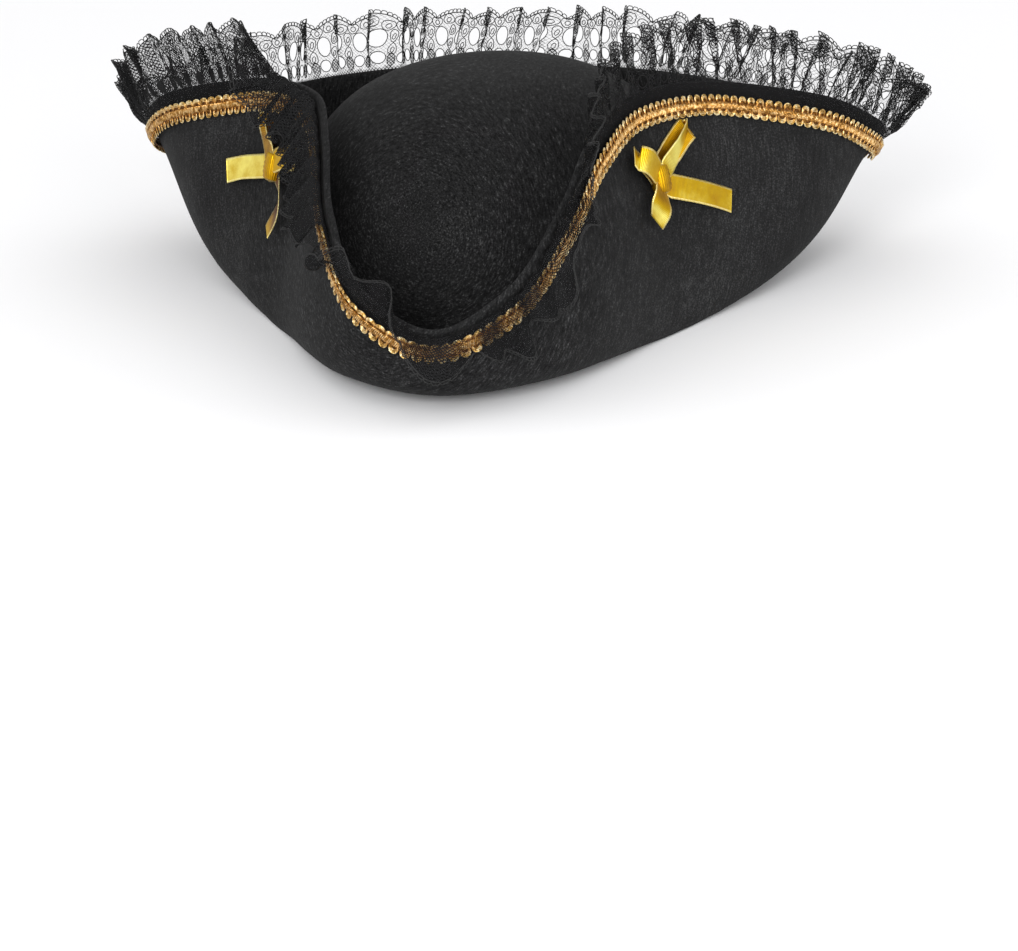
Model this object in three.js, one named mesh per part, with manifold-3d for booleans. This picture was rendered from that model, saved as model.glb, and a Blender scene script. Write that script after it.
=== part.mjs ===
// Tricorn hat of black felt with gold gimp braid, a gathered black lace ruffle and two gold ribbon bows.
// Millimetres, +Z up. The front corner points to -Y, and the hat rests on the level ring round the head.

import * as THREE from 'three';
import { mergeVertices } from 'three/addons/utils/BufferGeometryUtils.js';
import Module from 'manifold-3d';

// Crown, measured at the middle of the felt
const headHalfWidth = 87;
const headHalfLength = 104;
const crownHeight = 96;
const crownSquareness = 2.77;

// Brim
const feltWall = 2.5;
const brimWidth = 108;
const restWidth = 12;
const edgePull = 0.38;

// Gimp braid on the outer face, below the brim's edge
const braidMargin = 4.5;
const braidWidth = 9.5;
const braidThickness = 1.8;

// Lace ruffle, gathered under the braid and standing past the brim's edge
const laceWall = 1;
const laceWidth = 33;
const laceTuck = 3.5;
const laceBend = 7;
const laceLift = 0.5;
const laceRise = 1.2;
const pleatCount = 84;
const pleatDepth = 5;
const scallopHeight = 2.5;
const sharpestMiter = 0.35;

// Ribbon bows on the two front flaps
const ribbonWidth = 10.5;
const ribbonThickness = 1;
const bowReach = 42;
const bowBelowEdge = 36;
const knotLength = 12;
const knotWidth = 9;
const knotHeight = 7;
const knotPinch = 0.5;

// Clearance between pieces that lie on each other
const layerGap = 0.5;

const crownRings = 5;
const up = new THREE.Vector3(0, 0, 1);
const feltHalf = feltWall / 2;
const laceMiddle = feltHalf + layerGap + laceWall / 2;
const braidInner = feltHalf + layerGap + laceWall + layerGap;

// Half of the brim's free edge, from the front corner (0 degrees) round one side to the middle of the back.
// out, side and rise place the edge from the head opening, and level is how far the brim runs level before
// it turns up, all as shares of brimWidth. lean is the brim's slope at its edge, in degrees.
const brimColumns = ['around', 'out', 'side', 'rise', 'level', 'lean'];
const brimRows = [
  [0, 0.72, 0, 0.3, 0.92, 42],
  [14, 0.69, -0.22, 0.43, 0.69, 56],
  [28, 0.41, -0.33, 0.64, 0.36, 80],
  [42, 0.105, -0.29, 0.825, 0.12, 96],
  [56, -0.07, -0.09, 0.9, 0.05, 98],
  [72, 0.07, 0.14, 0.87, 0.2, 90],
  [88, 0.48, 0.16, 0.76, 0.35, 70],
  [104, 0.74, 0.16, 0.58, 0.45, 50],
  [114, 0.83, 0.14, 0.48, 0.43, 40],
  [120, 0.88, 0.12, 0.45, 0.36, 40],
  [126, 0.85, 0.05, 0.45, 0.35, 52],
  [136, 0.7, -0.1, 0.52, 0.4, 76],
  [150, 0.37, -0.23, 0.62, 0.45, 88],
  [165, 0.13, -0.15, 0.665, 0.49, 96],
  [180, 0.03, 0, 0.67, 0.5, 100],
];

// How the lace falls round the edge, which starts at the front corner and passes the +X side first.
// share is the place along the edge, and fall is the turn from standing up (0) to lying on the outer face
// (180 degrees).
const fallColumns = ['share', 'fall'];
const fallRows = [
  [0, 60],
  [0.014, 150],
  [0.035, 158],
  [0.048, 145],
  [0.062, 60],
  [0.09, 30],
  [0.108, 10],
  [0.25, 4],
  [0.31, -14],
  [0.4, 4],
  [0.5, 0],
  [0.6, 4],
  [0.69, -18],
  [0.795, 6],
  [0.83, 150],
  [0.87, 157],
  [0.947, 150],
  [0.97, 0],
  [0.985, -22],
];

// Ribbon routes from the knot outwards. along runs towards the rear on the right bow and towards the front
// on the left one, rise points to the brim's edge and out leaves the felt, as shares of bowReach. turn tips
// the ribbon from flat (0) to edge-on (90 degrees).
const bowColumns = ['along', 'rise', 'out', 'turn'];
const rightBow = {
  around: 57,
  strips: {
    smallLoop: [
      [0.03, -0.02, 0.06, 0],
      [-0.22, 0.22, 0.1, 8],
      [-0.44, 0.44, 0.15, 12],
      [-0.34, 0.3, 0.27, 12],
      [0.02, 0, 0.13, 0],
    ],
    longLoop: [
      [-0.03, -0.01, 0.05, 0],
      [0.3, 0.2, 0.1, -10],
      [0.6, 0.43, 0.13, -20],
      [0.36, 0.22, 0.25, -12],
      [-0.02, 0.01, 0.12, 0],
    ],
    shortTail: [
      [0.02, 0.03, 0.08, 0],
      [-0.2, -0.1, 0.15, 20],
      [-0.35, -0.18, 0.17, 40],
      [-0.46, -0.25, 0.17, 50],
    ],
    longTail: [
      [-0.03, 0.02, 0.09, 0],
      [0.35, -0.14, 0.14, -6],
      [0.7, -0.26, 0.15, -8],
      [0.96, -0.36, 0.14, -6],
    ],
  },
};
const leftBow = {
  around: 296.4,
  strips: {
    upperLoop: [
      [0.02, -0.03, 0.05, 0],
      [-0.1, 0.24, 0.07, -20],
      [-0.17, 0.46, 0.08, -25],
      [-0.12, 0.26, 0.14, -20],
      [0, 0, 0.11, 0],
    ],
    frontLoop: [
      [-0.03, -0.02, 0.06, 0],
      [0.24, 0.1, 0.06, 0],
      [0.46, 0.18, 0.07, 0],
      [0.26, 0.12, 0.14, 0],
      [-0.02, 0.01, 0.12, 0],
    ],
    rearTail: [
      [0.03, 0.01, 0.08, 0],
      [-0.35, -0.04, 0.1, 4],
      [-0.7, -0.06, 0.12, 6],
      [-0.98, -0.07, 0.12, 4],
    ],
    lowerTail: [
      [-0.02, 0.03, 0.07, 0],
      [0.34, -0.2, 0.09, 20],
      [0.5, -0.5, 0.12, 50],
      [0.42, -0.86, 0.14, 60],
    ],
  },
};

const felt = new THREE.MeshStandardMaterial({ color: '#232326', roughness: 0.95, metalness: 0 });
const gimp = new THREE.MeshStandardMaterial({ color: '#c98f34', roughness: 0.4, metalness: 0.7 });
const lace = new THREE.MeshStandardMaterial({ color: '#141416', roughness: 0.8, metalness: 0 });
const satin = new THREE.MeshStandardMaterial({ color: '#d9b93a', roughness: 0.35, metalness: 0.3 });

function named(columns, row) {
  return Object.fromEntries(columns.map((column, i) => [column, row[i]]));
}

// The half table, mirrored to the other side
function wholeBrim() {
  const half = brimRows.map((row) => named(brimColumns, row));
  const mirrored = half.slice(1, -1).reverse();
  return half.concat(mirrored.map((row) => ({ ...row, around: 360 - row.around, side: -row.side })));
}

const brimTable = wholeBrim();

// A smooth value between the rows of the brim table, which closes on itself
function brimRow(around) {
  const angle = ((around % 360) + 360) % 360;
  const count = brimTable.length;
  const here = brimTable.findLastIndex((row) => row.around <= angle);
  const rows = [-1, 0, 1, 2].map((step) => brimTable[(here + step + count) % count]);
  const turns = [-1, 0, 1, 2].map((step) => Math.floor((here + step) / count) * 360);
  const at = rows.map((row, i) => row.around + turns[i]);
  const t = (angle - at[1]) / (at[2] - at[1]);
  const result = {};
  for (const column of brimColumns.slice(1)) {
    const value = rows.map((row) => row[column]);
    const slopeHere = ((value[2] - value[0]) / (at[2] - at[0])) * (at[2] - at[1]);
    const slopeNext = ((value[3] - value[1]) / (at[3] - at[1])) * (at[2] - at[1]);
    result[column] =
      (2 * t ** 3 - 3 * t ** 2 + 1) * value[1] +
      (t ** 3 - 2 * t ** 2 + t) * slopeHere +
      (3 * t ** 2 - 2 * t ** 3) * value[2] +
      (t ** 3 - t ** 2) * slopeNext;
  }
  return result;
}

function ovalPoint(around, grow = 0) {
  const angle = THREE.MathUtils.degToRad(around);
  const a = headHalfWidth + grow;
  const b = headHalfLength + grow;
  const reach = 1 / Math.hypot(Math.sin(angle) / a, Math.cos(angle) / b);
  return new THREE.Vector3(Math.sin(angle) * reach, -Math.cos(angle) * reach, 0);
}

function ovalNormal(around) {
  const point = ovalPoint(around);
  return new THREE.Vector3(point.x / headHalfWidth ** 2, point.y / headHalfLength ** 2, 0).normalize();
}

// The middle of the felt from the level ring (share 0) to the brim's edge (share 1)
function brimPoint(around, share) {
  const row = brimRow(around);
  const root = ovalPoint(around);
  const outward = ovalNormal(around);
  const sideways = new THREE.Vector3(-outward.y, outward.x, 0);
  const lean = THREE.MathUtils.degToRad(row.lean);
  const start = root.clone().addScaledVector(outward, restWidth);
  const handle = start.clone().addScaledVector(outward, brimWidth * row.level);
  const edge = root
    .clone()
    .addScaledVector(outward, brimWidth * row.out)
    .addScaledVector(sideways, brimWidth * row.side)
    .addScaledVector(up, brimWidth * row.rise);
  const pull = edgePull * edge.distanceTo(handle);
  const bend = edge
    .clone()
    .addScaledVector(outward, -pull * Math.cos(lean))
    .addScaledVector(up, -pull * Math.sin(lean));
  return new THREE.CubicBezierCurve3(start, handle, bend, edge).getPoint(share);
}

// The direction out of the felt's outer face, which is the underside where the brim is level
function outerNormal(around, share) {
  const step = 0.01;
  const along = brimPoint(around + 1, share).sub(brimPoint(around - 1, share));
  const low = Math.max(share - step, 0);
  const high = Math.min(share + step, 1);
  const outward = brimPoint(around, high).sub(brimPoint(around, low));
  return along.cross(outward).normalize();
}

// The share of the brim's curve that lies a length below its edge, measured along the felt
function shareBelow(around, below) {
  const steps = 60;
  let share = 1;
  let walked = 0;
  let last = brimPoint(around, 1);
  while (share > 0) {
    const next = brimPoint(around, share - 1 / steps);
    const length = next.distanceTo(last);
    if (walked + length >= below) {
      return share - (below - walked) / length / steps;
    }
    walked += length;
    last = next;
    share -= 1 / steps;
  }
  return 0;
}

// A point a length below the brim's edge and set off from the middle of the felt, out of its outer face
function outerPoint(around, below, out) {
  const share = shareBelow(around, below);
  return brimPoint(around, share).addScaledVector(outerNormal(around, share), out);
}

// The angles that cut the brim's edge into equal lengths, one for each pleat
function equalAngles() {
  const steps = 1440;
  const lengths = [0];
  let last = brimPoint(0, 1);
  for (let i = 1; i <= steps; i++) {
    const next = brimPoint((360 * i) / steps, 1);
    lengths.push(lengths[i - 1] + next.distanceTo(last));
    last = next;
  }
  const angles = [];
  let i = 0;
  for (let pleat = 0; pleat < pleatCount; pleat++) {
    const target = (lengths[steps] * pleat) / pleatCount;
    while (lengths[i + 1] <= target) {
      i++;
    }
    const part = (target - lengths[i]) / (lengths[i + 1] - lengths[i]);
    angles.push((360 * (i + part)) / steps);
  }
  return angles;
}

const angles = equalAngles();

// Indexed triangles from sections that follow one another round the hat. Each section is a list of points
// that closes on itself, or one that runs between two poles. Bands named in openings are left out.
function sectionMesh(sections, poles, openings = []) {
  const count = sections.length;
  const length = sections[0].length;
  const points = sections.flat();
  const faces = [];
  const at = (i, j) => (i % count) * length + (j % length);
  const quad = (a, b, c, d) => faces.push(a, b, c, a, c, d);
  const bands = poles ? length - 1 : length;
  const open = new Set(openings.map(([i, j]) => at(i, j)));
  for (let i = 0; i < count; i++) {
    for (let j = 0; j < bands; j++) {
      if (!open.has(at(i, j))) {
        quad(at(i, j), at(i, j + 1), at(i + 1, j + 1), at(i + 1, j));
      }
    }
    if (poles) {
      faces.push(count * length, at(i, 0), at(i + 1, 0));
      faces.push(count * length + 1, at(i + 1, length - 1), at(i, length - 1));
    }
  }
  return { points: poles ? points.concat(poles) : points, faces, at, quad };
}

function toGeometry({ points, faces }) {
  const geometry = new THREE.BufferGeometry();
  const numbers = points.flatMap((point) => point.toArray());
  geometry.setAttribute('position', new THREE.Float32BufferAttribute(numbers, 3));
  geometry.setIndex(faces);
  geometry.computeVertexNormals();
  return geometry;
}

// One wall of felt: dome outside, brim inside, brim outside, dome inside
function feltGeometry() {
  const rings = Array.from({ length: crownRings }, (_, i) => (Math.PI / 2) * (1 - (i + 1) / crownRings));
  const power = 2 / crownSquareness;
  const domePoint = (around, ring, grow) => {
    const spread = Math.cos(ring) ** power;
    const lift = Math.sin(ring) ** power;
    return ovalPoint(around, grow).multiplyScalar(spread).setZ(grow + crownHeight * lift);
  };
  const turnShares = [0, 0.27, 0.52, 0.76, 1];
  const sections = angles.map((around) => {
    const braidLow = shareBelow(around, braidMargin + braidWidth);
    const braidHigh = shareBelow(around, braidMargin);
    const shares = turnShares.map((part) => part * braidLow).concat([braidHigh, 1]);
    const inner = [];
    const outer = [];
    for (const share of shares) {
      const point = brimPoint(around, share);
      const normal = outerNormal(around, share);
      inner.push(point.clone().addScaledVector(normal, -feltHalf));
      outer.push(point.clone().addScaledVector(normal, feltHalf));
    }
    const domeOutside = rings.map((ring) => domePoint(around, ring, feltHalf));
    const domeInside = rings.map((ring) => domePoint(around, ring, -feltHalf)).reverse();
    return [...domeOutside, ...inner, ...outer.reverse(), ...domeInside];
  });
  const poles = [feltHalf, -feltHalf].map((grow) => new THREE.Vector3(0, 0, crownHeight + grow));
  return toGeometry(sectionMesh(sections, poles));
}

// A flat band that follows the outer face on the same stations as the felt
function braidGeometry() {
  const low = braidMargin + braidWidth;
  const top = braidInner + braidThickness;
  const sections = angles.map((around) => [
    outerPoint(around, low, braidInner),
    outerPoint(around, braidMargin, braidInner),
    outerPoint(around, braidMargin, top),
    outerPoint(around, low, top),
  ]);
  return toGeometry(sectionMesh(sections));
}

// The fall of the lace at a share of the edge, eased from row to row
function fallAt(share) {
  const rows = fallRows.map((row) => named(fallColumns, row));
  const here = rows.findLastIndex((row) => row.share <= share);
  const next = rows[(here + 1) % rows.length];
  const end = here + 1 < rows.length ? next.share : 1;
  const part = (share - rows[here].share) / (end - rows[here].share);
  const eased = part * part * (3 - 2 * part);
  return THREE.MathUtils.degToRad(THREE.MathUtils.lerp(rows[here].fall, next.fall, eased));
}

// Where the lace starts at each station: its root under the braid, the braid's upper side (high), the edge
// of the brim, and the directions there
function laceStations() {
  return angles.map((around, i) => {
    const edge = brimPoint(around, 1);
    const along = brimPoint(around + 1, 1).sub(brimPoint(around - 1, 1)).normalize();
    const outward = outerNormal(around, 1);
    const past = outward.clone().cross(along).normalize();
    const high = outerPoint(around, braidMargin, laceMiddle);
    const low = outerPoint(around, braidMargin + braidWidth, laceMiddle);
    const root = high.clone().lerp(low, laceTuck / braidWidth);
    return { edge, along, outward, past, root, high, fall: fallAt(i / pleatCount) };
  });
}

// A station between two neighbours, on the straight line that the felt's facets follow too
function between(stations, place) {
  const whole = Math.floor(place);
  const a = stations[whole % pleatCount];
  const b = stations[(whole + 1) % pleatCount];
  const part = place - whole;
  const mixed = { fall: THREE.MathUtils.lerp(a.fall, b.fall, part) };
  for (const key of ['edge', 'along', 'outward', 'past', 'root', 'high']) {
    mixed[key] = a[key].clone().lerp(b[key], part);
  }
  return mixed;
}

// Rows of the lace from root to free edge: run is the share of the free length past the bend, full is how
// far the pleats have opened, and scallop says which row is cut in scallops.
const laceRows = [
  { row: 'root', full: 0 },
  { row: 'high', full: 0 },
  { row: 'edge', full: 0.1 },
  { row: 'bend', run: 0, full: 0.6 },
  { row: 'opening', run: 0.42, full: 0.85 },
  { row: 'free', run: 1, full: 1, scallop: scallopHeight },
];

// Corners of one knife pleat: its valley, the middle of its panel and its peak, which lies over the next
// valley. at is the place in a gathered pleat and spread the place in an open one.
const pleatCorners = [
  { at: 0, spread: 0, depth: -0.5, scallop: 0 },
  { at: 0.5, spread: 0.56, depth: 0.05, scallop: 1 },
  { at: 0.9, spread: 1.1, depth: 0.5, scallop: 0 },
];

// The middle of the lace at one corner of a pleat, with the direction in which the pleat is deep
function lacePoint(stations, pleat, corner, level) {
  const place = pleat + THREE.MathUtils.lerp(corner.at, corner.spread, level.full);
  const station = between(stations, (place + pleatCount) % pleatCount);
  if (level.row === 'root' || level.row === 'high') {
    return { point: station[level.row], deep: station.outward, along: station.along };
  }
  const { fall, past, outward, along } = station;
  const outside = THREE.MathUtils.clamp(fall / Math.PI, 0, 1);
  const rise = THREE.MathUtils.lerp(laceRise, -braidMargin / 2, outside);
  const freeLength = laceWidth - laceTuck - braidMargin - rise - laceBend;
  const point = station.edge
    .clone()
    .addScaledVector(past, rise)
    .addScaledVector(outward, laceMiddle + laceLift);
  const turned = (angle, forward, sideways) =>
    past
      .clone()
      .multiplyScalar(forward * Math.cos(angle) - sideways * Math.sin(angle))
      .addScaledVector(outward, forward * Math.sin(angle) + sideways * Math.cos(angle));
  if (level.row === 'edge') {
    point.addScaledVector(outward, (corner.depth + 0.5) * pleatDepth * level.full);
    return { point, deep: outward, along };
  }
  const run = level.run * freeLength + (level.scallop ?? 0) * corner.scallop;
  point.add(turned(fall / 2, laceBend, 0));
  point.add(turned(fall, run, corner.depth * pleatDepth * level.full));
  return { point, deep: turned(fall, 0, 1), along };
}

// Both faces of the pleated sheet, each set off square to it, halfway between the neighbouring panels
function laceGeometry() {
  const stations = laceStations();
  const middle = [];
  for (let pleat = 0; pleat < pleatCount; pleat++) {
    for (const corner of pleatCorners) {
      middle.push(laceRows.map((level) => lacePoint(stations, pleat, corner, level)));
    }
  }
  const count = middle.length;
  const sections = middle.map((column, i) => {
    const before = middle[(i + count - 1) % count];
    const after = middle[(i + 1) % count];
    const offsets = column.map((here, j) => {
      const flat = (vector) => new THREE.Vector2(vector.dot(here.along), vector.dot(here.deep));
      const entering = flat(here.point.clone().sub(before[j].point)).normalize();
      const leaving = flat(after[j].point.clone().sub(here.point)).normalize();
      const square = new THREE.Vector2(-entering.y - leaving.y, entering.x + leaving.x).normalize();
      const miter = Math.max(Math.abs(square.y * leaving.x - square.x * leaving.y), sharpestMiter);
      const reach = laceWall / 2 / miter;
      const sideways = here.along.clone().multiplyScalar(square.x * reach);
      return sideways.addScaledVector(here.deep, square.y * reach);
    });
    const inside = column.map((here, j) => here.point.clone().sub(offsets[j]));
    const outside = column.map((here, j) => here.point.clone().add(offsets[j]));
    return [...inside, ...outside.reverse()];
  });
  return toGeometry(pierced(sections));
}

// Leaves one gap in each pleat, between its valley and the middle of its panel
function pierced(sections) {
  const low = laceRows.findIndex((level) => level.row === 'bend');
  const high = low + 1;
  const lowBack = 2 * laceRows.length - 1 - low;
  const highBack = lowBack - 1;
  const columns = Array.from({ length: pleatCount }, (_, pleat) => pleat * pleatCorners.length);
  const mesh = sectionMesh(sections, undefined, columns.flatMap((i) => [[i, low], [i, highBack]]));
  const { at, quad } = mesh;
  for (const i of columns) {
    quad(at(i, low), at(i, lowBack), at(i + 1, lowBack), at(i + 1, low));
    quad(at(i + 1, high), at(i + 1, highBack), at(i, highBack), at(i, high));
    quad(at(i, high), at(i, highBack), at(i, lowBack), at(i, low));
    quad(at(i + 1, low), at(i + 1, lowBack), at(i + 1, highBack), at(i + 1, high));
  }
  return mesh;
}

// A point over the outer face of a flap, with the direction out of the felt there
function facePoint(around, below, out) {
  const share = shareBelow(around, below);
  const normal = outerNormal(around, share);
  return { point: brimPoint(around, share).addScaledVector(normal, feltHalf + out), normal };
}

// A ribbon along a route over the flap, of even width but gathered where the knot holds it
function ribbonGeometry(bow, route) {
  const share = shareBelow(bow.around, bowBelowEdge);
  const degree = brimPoint(bow.around + 0.5, share).distanceTo(brimPoint(bow.around - 0.5, share));
  const stops = route.map((row) => {
    const { along, rise, out, turn } = named(bowColumns, row);
    const around = bow.around + (along * bowReach) / degree;
    const place = facePoint(around, bowBelowEdge - rise * bowReach, out * bowReach);
    const width = Math.hypot(along, rise) < 0.1 ? ribbonWidth * knotPinch : ribbonWidth;
    return { ...place, width, turn: THREE.MathUtils.degToRad(turn) };
  });
  const points = stops.flatMap((stop, i) => {
    const ahead = stops[Math.min(i + 1, stops.length - 1)].point;
    const behind = stops[Math.max(i - 1, 0)].point;
    const along = ahead.clone().sub(behind).normalize();
    const across = stop.normal.clone().cross(along).normalize().applyAxisAngle(along, stop.turn);
    const thick = along.clone().cross(across).multiplyScalar(ribbonThickness / 2);
    across.multiplyScalar(stop.width / 2);
    const corners = [[1, 1], [-1, 1], [-1, -1], [1, -1]];
    const corner = (a, b) => stop.point.clone().addScaledVector(across, a).addScaledVector(thick, b);
    return corners.map(([a, b]) => corner(a, b));
  });
  const faces = [];
  for (let i = 0; i < stops.length - 1; i++) {
    for (let j = 0; j < 4; j++) {
      const a = i * 4 + j;
      const b = i * 4 + ((j + 1) % 4);
      faces.push(a, b, b + 4, a, b + 4, a + 4);
    }
  }
  const last = points.length - 4;
  faces.push(0, 2, 1, 0, 3, 2, last, last + 1, last + 2, last, last + 2, last + 3);
  return toGeometry({ points, faces });
}

// The wrapped middle of a bow, as a flattened ball
function knotGeometry(bow) {
  const seat = facePoint(bow.around, bowBelowEdge, layerGap + knotHeight / 2);
  const level = new THREE.Vector3().crossVectors(up, seat.normal).normalize();
  const upright = seat.normal.clone().cross(level);
  const ball = new THREE.SphereGeometry(0.5, 8, 4).scale(knotWidth, knotLength, knotHeight);
  const pose = new THREE.Matrix4().makeBasis(level, upright, seat.normal).setPosition(seat.point);
  return ball.applyMatrix4(pose);
}

const wasm = await Module();
wasm.setup();

function toSolid(geometry) {
  const bare = geometry.clone();
  bare.deleteAttribute('normal');
  bare.deleteAttribute('uv');
  const merged = mergeVertices(bare, 1e-4);
  const vertProperties = new Float32Array(merged.attributes.position.array);
  const triVerts = new Uint32Array(merged.index.array);
  return new wasm.Manifold(new wasm.Mesh({ numProp: 3, vertProperties, triVerts }));
}

function fromSolid(solid) {
  const mesh = solid.getMesh();
  const geometry = new THREE.BufferGeometry();
  geometry.setAttribute('position', new THREE.BufferAttribute(mesh.vertProperties, 3));
  geometry.setIndex(new THREE.BufferAttribute(mesh.triVerts, 1));
  geometry.computeVertexNormals();
  return geometry;
}

// One ribbon, tied: its knot, two loops and two tails in one body
function bowGeometry(bow) {
  const pieces = Object.values(bow.strips).map((route) => toSolid(ribbonGeometry(bow, route)));
  return fromSolid(pieces.reduce((body, piece) => body.add(piece), toSolid(knotGeometry(bow))));
}

function addPiece(name, geometry, material) {
  const mesh = new THREE.Mesh(geometry, material);
  mesh.name = name;
  hat.add(mesh);
}

const hat = new THREE.Group();
hat.name = 'tricorn_hat';
addPiece('felt_body', feltGeometry(), felt);
addPiece('gold_braid', braidGeometry(), gimp);
addPiece('lace_ruffle', laceGeometry(), lace);
addPiece('bow_right', bowGeometry(rightBow), satin);
addPiece('bow_left', bowGeometry(leftBow), satin);

// The origin is under the middle of the hat, on the surface that it rests on
const box = new THREE.Box3().setFromObject(hat);
const middle = box.getCenter(new THREE.Vector3());
hat.position.set(-middle.x, -middle.y, -box.min.z);

export default hat;
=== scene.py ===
# Tricorn hat: black felt, gold gimp braid, a gathered black lace ruffle and two gold ribbon bows.
# Lengths are in millimetres here and become metres where a mesh is made.

import math

import bpy
import numpy as np
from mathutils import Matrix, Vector


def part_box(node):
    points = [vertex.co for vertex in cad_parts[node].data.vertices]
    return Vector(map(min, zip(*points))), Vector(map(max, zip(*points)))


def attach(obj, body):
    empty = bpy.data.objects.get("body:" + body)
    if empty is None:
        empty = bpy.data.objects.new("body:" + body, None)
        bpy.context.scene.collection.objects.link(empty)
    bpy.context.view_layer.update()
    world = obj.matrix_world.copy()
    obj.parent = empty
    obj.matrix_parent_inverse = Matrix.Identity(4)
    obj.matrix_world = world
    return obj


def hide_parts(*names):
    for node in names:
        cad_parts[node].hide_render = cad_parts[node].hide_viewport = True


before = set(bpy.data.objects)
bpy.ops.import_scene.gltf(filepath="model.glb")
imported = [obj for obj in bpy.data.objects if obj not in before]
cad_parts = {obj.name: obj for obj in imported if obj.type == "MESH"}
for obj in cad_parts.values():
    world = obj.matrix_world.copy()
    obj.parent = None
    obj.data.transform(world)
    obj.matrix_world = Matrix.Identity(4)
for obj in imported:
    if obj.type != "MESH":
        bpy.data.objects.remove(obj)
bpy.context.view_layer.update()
print("frame loaded:", sorted(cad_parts))

# camera, floor and light
view = dict(
    place=(252.09, -1802.84, 508.26),  # from the middle of the head opening
    turn=(71.924, 1.316, 7.416),
    lens=154.93,
)
studio = dict(
    floorSize=9.0,
    floorColor=(0.86, 0.86, 0.87),
    skyColor=(1.0, 1.0, 1.0),
    skyStrength=0.95,
    lamps=[
        ("key", (-0.3, -2.9, 1.2), 1.2, 62),  # name, place, size, power
        ("fill", (1.5, -2.3, 0.7), 1.4, 30),
    ],
)

# crown and brim
hat = dict(
    headHalfWidth=87,
    headHalfLength=104,
    crownHeight=96,
    crownSquareness=2.77,
    wall=2.5,
    brimWidth=108,
    restWidth=12,
    edgePull=0.38,
    crownFillet=4.5,
    stations=336,
    crownRings=26,
    filletRings=6,
    brimRings=34,
    packedStations=84,  # the felt's stations and rows in the part's source
    packedShares=(0, 0.27, 0.52, 0.76, 1),
    packedLow=14.0,
    packedHigh=4.5,
)

# around, out, side, rise, level, lean: half of the brim's free edge, as in the part's source
brimTable = [
    (0, 0.72, 0, 0.3, 0.92, 42),
    (14, 0.69, -0.22, 0.43, 0.69, 56),
    (28, 0.41, -0.33, 0.64, 0.36, 80),
    (42, 0.105, -0.29, 0.825, 0.12, 96),
    (56, -0.07, -0.09, 0.9, 0.05, 98),
    (72, 0.07, 0.14, 0.87, 0.2, 90),
    (88, 0.48, 0.16, 0.76, 0.35, 70),
    (104, 0.74, 0.16, 0.58, 0.45, 50),
    (114, 0.83, 0.14, 0.48, 0.43, 40),
    (120, 0.88, 0.12, 0.45, 0.36, 40),
    (126, 0.85, 0.05, 0.45, 0.35, 52),
    (136, 0.7, -0.1, 0.52, 0.4, 76),
    (150, 0.37, -0.23, 0.62, 0.45, 88),
    (165, 0.13, -0.15, 0.665, 0.49, 96),
    (180, 0.03, 0, 0.67, 0.5, 100),
]


def wholeBrim():
    half = [list(row) for row in brimTable]
    rest = [[360 - row[0], row[1], -row[2], *row[3:]] for row in half[1:-1][::-1]]
    return np.array(half + rest)


brimRows = wholeBrim()


def unit(vectors):
    return vectors / np.maximum(np.linalg.norm(vectors, axis=-1, keepdims=True), 1e-12)


def lerp(a, b, part):
    return a + (b - a) * part


def brimValues(around):
    # smooth values between the rows of the table, which closes on itself
    angle = np.mod(around, 360)
    count = len(brimRows)
    here = np.searchsorted(brimRows[:, 0], angle, side="right") - 1
    steps = [here + step for step in (-1, 0, 1, 2)]
    value = [brimRows[step % count, 1:] for step in steps]
    at = [brimRows[step % count, 0] + np.floor_divide(step, count) * 360 for step in steps]
    t = ((angle - at[1]) / (at[2] - at[1]))[..., None]
    span = (at[2] - at[1])[..., None]
    slopeHere = (value[2] - value[0]) / (at[2] - at[0])[..., None] * span
    slopeNext = (value[3] - value[1]) / (at[3] - at[1])[..., None] * span
    return (
        (2 * t**3 - 3 * t**2 + 1) * value[1]
        + (t**3 - 2 * t**2 + t) * slopeHere
        + (3 * t**2 - 2 * t**3) * value[2]
        + (t**3 - t**2) * slopeNext
    )


def ovalPoint(around, grow=0.0):
    angle = np.radians(around)
    halfWidth, halfLength = hat["headHalfWidth"] + grow, hat["headHalfLength"] + grow
    reach = 1 / np.hypot(np.sin(angle) / halfWidth, np.cos(angle) / halfLength)
    return np.stack([np.sin(angle) * reach, -np.cos(angle) * reach, np.zeros_like(reach)], -1)


def ovalNormal(around):
    point = ovalPoint(around)
    return unit(point / np.array([hat["headHalfWidth"] ** 2, hat["headHalfLength"] ** 2, 1.0]))


def brimPoint(around, share):
    # the middle of the felt, from the level ring (share 0) to the brim's edge (share 1)
    around, share = np.broadcast_arrays(np.asarray(around, float), np.asarray(share, float))
    out, side, rise, level, lean = np.moveaxis(brimValues(around), -1, 0)[..., None]
    root, outward = ovalPoint(around), ovalNormal(around)
    sideways = np.stack([-outward[..., 1], outward[..., 0], np.zeros(around.shape)], -1)
    up = np.array([0.0, 0.0, 1.0])
    width = hat["brimWidth"]
    start = root + outward * hat["restWidth"]
    handle = start + outward * width * level
    edge = root + width * (outward * out + sideways * side + up * rise)
    pull = hat["edgePull"] * np.linalg.norm(edge - handle, axis=-1, keepdims=True)
    slope = np.radians(lean)
    bend = edge - pull * (outward * np.cos(slope) + up * np.sin(slope))
    t = share[..., None]
    return (1 - t) ** 3 * start + 3 * (1 - t) ** 2 * t * handle + 3 * (1 - t) * t**2 * bend + t**3 * edge


def outerNormal(around, share):
    # out of the felt's outer face, which is the underside where the brim is level
    along = brimPoint(around + 1.0, share) - brimPoint(around - 1.0, share)
    outward = brimPoint(around, np.minimum(share + 0.01, 1)) - brimPoint(around, np.maximum(share - 0.01, 0))
    return unit(np.cross(along, outward))


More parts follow.
